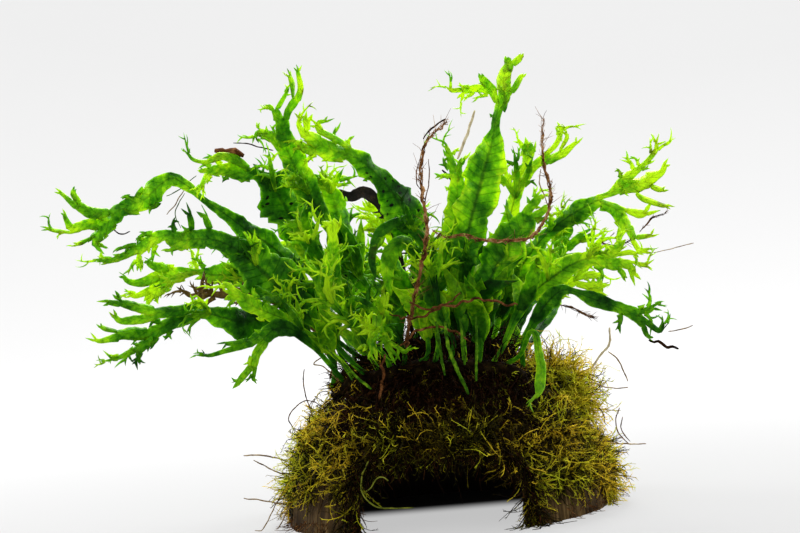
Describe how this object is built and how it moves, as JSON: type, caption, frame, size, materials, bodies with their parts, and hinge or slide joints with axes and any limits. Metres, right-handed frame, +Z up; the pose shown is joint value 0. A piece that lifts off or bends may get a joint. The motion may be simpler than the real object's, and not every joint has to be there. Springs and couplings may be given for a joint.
{
  "type": "java fern on coconut shell",
  "caption": "Lace java fern and java moss grown on half a coconut husk, open side down, with an arched cave mouth cut in its front rim.",
  "frame": {"origin": "middle of the box round the whole piece, at the height of the coconut's rim, which is what it stands on", "axes": "+Z up; the cave mouth looks along -Y; +X is to the right of someone who faces the mouth"},
  "size_m": [0.2582, 0.169, 0.1817],
  "materials": {
    "coconut_husk": "coarse brown fibres, matt",
    "fern_root": "dark brown, wiry",
    "rhizome": "brown green, scaly",
    "fern_leaf": "satin, leathery, lit through",
    "bright_fern_leaf": "satin, young and pale, lit through",
    "dead_fern_leaf": "dry, dark brown to black",
    "java_moss": "fine tangled stems, olive to golden brown"
  },
  "bodies": {
    "root": {"arching_frond": "fern_leaf", "back_centre_frond": "fern_leaf", "back_centre_left_frond": "fern_leaf", "back_centre_right_frond": "fern_leaf", "back_left_frond": "fern_leaf", "back_rhizome": "rhizome", "back_right_frond": "fern_leaf", "black_dead_frond": "dead_fern_leaf", "bright_right_lace_frond": "bright_fern_leaf", "bright_strip_frond": "bright_fern_leaf", "broad_left_frond": "fern_leaf", "coconut_shell": "coconut_husk", "dead_left_frond": "dead_fern_leaf", "drooping_arch_frond": "fern_leaf", "drooping_right_frond": "fern_leaf", "dry_stick": "fern_root", "far_back_left_frond": "fern_leaf", "far_left_frond": "fern_leaf", "front_hanging_frond": "fern_leaf", "front_left_lace_frond": "fern_leaf", "front_rhizome": "rhizome", "hanging_lace_frond": "fern_leaf", "hoop_root": "fern_root", "lacy_centre_frond": "fern_leaf", "lacy_left_frond": "fern_leaf", "left_centre_frond": "fern_leaf", "light_lace_frond": "bright_fern_leaf", "long_right_frond": "fern_leaf", "low_back_centre_frond": "fern_leaf", "low_back_left_frond": "fern_leaf", "low_back_right_frond": "fern_leaf", "low_left_frond": "fern_leaf", "middle_rhizome": "rhizome", "moss_back": "java_moss", "moss_back_left": "java_moss", "moss_back_right": "java_moss", "moss_front_left": "java_moss", "moss_front_right": "java_moss", "moss_left": "java_moss", "moss_over_mouth": "java_moss", "moss_right": "java_moss", "moss_shoulder": "java_moss", "narrow_upper_left_frond": "fern_leaf", "pale_centre_frond": "fern_leaf", "right_crossing_root": "fern_root", "right_leaning_frond": "fern_leaf", "right_side_root": "fern_root", "root_mat": "fern_root", "second_right_frond": "fern_leaf", "short_bright_frond": "bright_fern_leaf", "small_drooping_frond": "fern_leaf", "standing_root": "fern_root", "tall_back_left_frond": "fern_leaf", "tall_centre_frond": "fern_leaf", "top_left_frond": "fern_leaf", "upper_left_lace_frond": "fern_leaf", "upper_right_lace_frond": "fern_leaf", "wide_back_right_frond": "fern_leaf", "yellow_drooping_frond": "bright_fern_leaf"}
  },
  "joints": []
}
